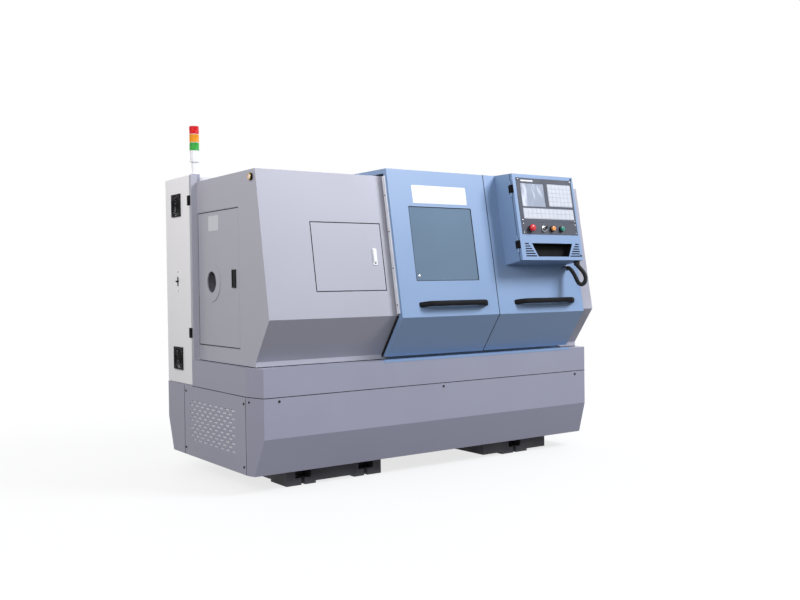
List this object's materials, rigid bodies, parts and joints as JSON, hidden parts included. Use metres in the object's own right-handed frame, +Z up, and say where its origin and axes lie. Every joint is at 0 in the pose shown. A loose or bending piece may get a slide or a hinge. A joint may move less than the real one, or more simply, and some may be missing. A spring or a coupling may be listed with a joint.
{
  "type": "cnc turning lathe",
  "caption": "Enclosed CNC turning lathe with sliding front doors, door-mounted control box, headstock and chuck, tool turret, tailstock and rear electrical cabinet.",
  "frame": {"origin": "centre of the footprint on the floor", "axes": "+X along the bed from headstock to tailstock, +Y from the front to the back, +Z up"},
  "size_m": [2.25, 1.388, 1.887],
  "materials": {
    "grey_paint": "satin",
    "base_paint": "satin",
    "blue_paint": "satin",
    "white_paint": "satin",
    "leg_paint": "painted rough",
    "machined_iron": "machined",
    "ground_steel": "ground",
    "motor_paint": "satin",
    "black_plastic": "matte",
    "black_rubber": "matte",
    "aluminium_strip": "satin",
    "nickel": "satin",
    "window_glass": "clear",
    "panel_plastic": "matte",
    "screen_face": "gloss",
    "red_plastic": "gloss",
    "green_plastic": "gloss",
    "orange_plastic": "gloss",
    "green_lens": "translucent",
    "amber_lens": "translucent",
    "red_lens": "translucent",
    "white_plastic": "satin"
  },
  "bodies": {
    "base": {"left_leg": "leg_paint", "right_leg": "leg_paint", "chip_tray": "base_paint", "front_skirt": "base_paint", "rear_skirt": "base_paint", "vent_panel": "base_paint", "bed": "machined_iron", "headstock": "machined_iron", "headstock_cover": "grey_paint", "end_cover": "grey_paint", "rear_wall": "grey_paint", "door_rails": "ground_steel", "cabinet": "white_paint", "drive_plate": "ground_steel", "tower_post": "grey_paint", "tower_base": "white_plastic", "green_lens": "green_lens", "amber_lens": "amber_lens", "red_lens": "red_lens", "main_motor": "motor_paint", "drive_belt": "black_rubber", "z_servo": "black_plastic"},
    "left_door": {"left_door": "blue_paint", "window_pane": "window_glass", "left_handle": "black_plastic", "wiper_strip": "aluminium_strip"},
    "right_door": {"right_door": "blue_paint", "right_handle": "black_plastic", "control_box": "blue_paint", "conduit_glands": "nickel", "conduit": "black_plastic"},
    "control_lid": {"control_lid": "blue_paint", "operator_panel": "panel_plastic", "screen": "screen_face"},
    "emergency_stop": {"emergency_stop": "red_plastic"},
    "selector_switch": {"selector_switch": "nickel"},
    "hold_button": {"hold_button": "orange_plastic"},
    "start_button": {"start_button": "green_plastic"},
    "hatch": {"hatch": "grey_paint"},
    "hatch_latch": {"hatch_latch": "white_plastic"},
    "access_door": {"access_door": "grey_paint"},
    "access_latch": {"access_latch": "black_plastic"},
    "cabinet_door": {"cabinet_door": "white_paint", "fan_guards": "black_plastic"},
    "upper_fan": {"upper_fan": "black_plastic"},
    "lower_fan": {"lower_fan": "black_plastic"},
    "cabinet_latch": {"cabinet_latch": "black_plastic"},
    "spindle": {"spindle": "ground_steel", "chuck": "ground_steel"},
    "jaw_1": {"jaw_1": "ground_steel"},
    "jaw_2": {"jaw_2": "ground_steel"},
    "jaw_3": {"jaw_3": "ground_steel"},
    "motor_pulley": {"motor_pulley": "ground_steel"},
    "carriage": {"carriage": "machined_iron", "x_servo": "black_plastic"},
    "cross_slide": {"cross_slide": "ground_steel"},
    "turret": {"turret": "ground_steel"},
    "z_screw": {"z_screw": "ground_steel"},
    "tailstock": {"tailstock": "machined_iron"},
    "quill": {"quill": "ground_steel"}
  },
  "joints": [
    {"name": "left_door_slide", "type": "slide", "parent": "base", "child": "left_door", "axis": [1, 0, 0], "range_m": [-0.64, 0]},
    {"name": "right_door_slide", "type": "slide", "parent": "base", "child": "right_door", "axis": [1, 0, 0], "range_m": [0, 0.3]},
    {"name": "control_lid_hinge", "type": "hinge", "parent": "right_door", "child": "control_lid", "pos_m": [0.3905, -0.60924, 1.36835], "axis": [0, -0.1716, -0.9852], "range_deg": [0, 100]},
    {"name": "emergency_stop_press", "type": "slide", "parent": "control_lid", "child": "emergency_stop", "axis": [0, 0.9852, -0.1716], "range_m": [0, 0.005], "stiffness_N_per_m": 500},
    {"name": "selector_turn", "type": "hinge", "parent": "control_lid", "child": "selector_switch", "pos_m": [0.583, -0.63762, 1.31036], "axis": [0, 0.9852, -0.1716], "range_deg": [-45, 45]},
    {"name": "hold_press", "type": "slide", "parent": "control_lid", "child": "hold_button", "axis": [0, 0.9852, -0.1716], "range_m": [0, 0.004], "stiffness_N_per_m": 500},
    {"name": "start_press", "type": "slide", "parent": "control_lid", "child": "start_button", "axis": [0, 0.9852, -0.1716], "range_m": [0, 0.004], "stiffness_N_per_m": 500},
    {"name": "hatch_hinge", "type": "hinge", "parent": "base", "child": "hatch", "pos_m": [-0.813, -0.47504, 1.154], "axis": [0, -0.1716, -0.9852], "range_deg": [0, 110]},
    {"name": "hatch_latch_lift", "type": "hinge", "parent": "hatch", "child": "hatch_latch", "pos_m": [-0.4495, -0.47452, 1.19284], "axis": [-1, 0, 0], "range_deg": [0, 80]},
    {"name": "access_door_hinge", "type": "hinge", "parent": "base", "child": "access_door", "pos_m": [-1.083, 0.293, 1.053], "axis": [0, 0, 1], "range_deg": [-90, 0]},
    {"name": "access_latch_lift", "type": "hinge", "parent": "access_door", "child": "access_latch", "pos_m": [-1.0833, -0.176, 1.051], "axis": [0, 0, 1], "range_deg": [0, 60]},
    {"name": "cabinet_door_hinge", "type": "hinge", "parent": "base", "child": "cabinet_door", "pos_m": [-1.1218, 0.324, 1.048], "axis": [0, 0, 1], "range_deg": [0, 90]},
    {"name": "upper_fan_spin", "type": "hinge", "parent": "cabinet_door", "child": "upper_fan", "pos_m": [-1.105, 0.5065, 1.465], "axis": [1, 0, 0], "continuous": true},
    {"name": "lower_fan_spin", "type": "hinge", "parent": "cabinet_door", "child": "lower_fan", "pos_m": [-1.105, 0.5065, 0.616], "axis": [1, 0, 0], "continuous": true},
    {"name": "cabinet_latch_turn", "type": "hinge", "parent": "cabinet_door", "child": "cabinet_latch", "pos_m": [-1.117, 0.4965, 1.043], "axis": [1, 0, 0], "range_deg": [0, 90]},
    {"name": "spindle_spin", "type": "hinge", "parent": "base", "child": "spindle", "pos_m": [-0.6, 0.118, 1.036], "axis": [1, 0, 0], "continuous": true},
    {"name": "jaw_1_slide", "type": "slide", "parent": "spindle", "child": "jaw_1", "axis": [0, 0, 1], "range_m": [-0.012, 0.012]},
    {"name": "jaw_2_slide", "type": "slide", "parent": "spindle", "child": "jaw_2", "axis": [0, -0.866, -0.5], "range_m": [-0.012, 0.012]},
    {"name": "jaw_3_slide", "type": "slide", "parent": "spindle", "child": "jaw_3", "axis": [0, 0.866, -0.5], "range_m": [-0.012, 0.012]},
    {"name": "motor_spin", "type": "hinge", "parent": "base", "child": "motor_pulley", "pos_m": [-0.995, 0.118, 0.27], "axis": [1, 0, 0], "continuous": true},
    {"name": "carriage_slide", "type": "slide", "parent": "base", "child": "carriage", "axis": [1, 0, 0], "range_m": [-0.26, 0.2]},
    {"name": "z_screw_spin", "type": "hinge", "parent": "base", "child": "z_screw", "pos_m": [0.24, -0.106, 0.736], "axis": [1, 0, 0], "continuous": true},
    {"name": "cross_slide_move", "type": "slide", "parent": "carriage", "child": "cross_slide", "axis": [0, 1, 0], "range_m": [-0.06, 0.1]},
    {"name": "turret_index", "type": "hinge", "parent": "cross_slide", "child": "turret", "pos_m": [0.15, -0.058, 1.01], "axis": [0, 0, 1], "continuous": true},
    {"name": "tailstock_slide", "type": "slide", "parent": "base", "child": "tailstock", "axis": [1, 0, 0], "range_m": [-0.15, 0.03]},
    {"name": "quill_slide", "type": "slide", "parent": "tailstock", "child": "quill", "axis": [1, 0, 0], "range_m": [-0.1, 0]}
  ],
  "couplings": [
    {"joint": "motor_spin", "follows": "spindle_spin", "ratio": 1.4667},
    {"joint": "jaw_2_slide", "follows": "jaw_1_slide", "ratio": 1},
    {"joint": "jaw_3_slide", "follows": "jaw_1_slide", "ratio": 1},
    {"joint": "z_screw_spin", "follows": "carriage_slide", "rad_per_m": 628.32}
  ]
}
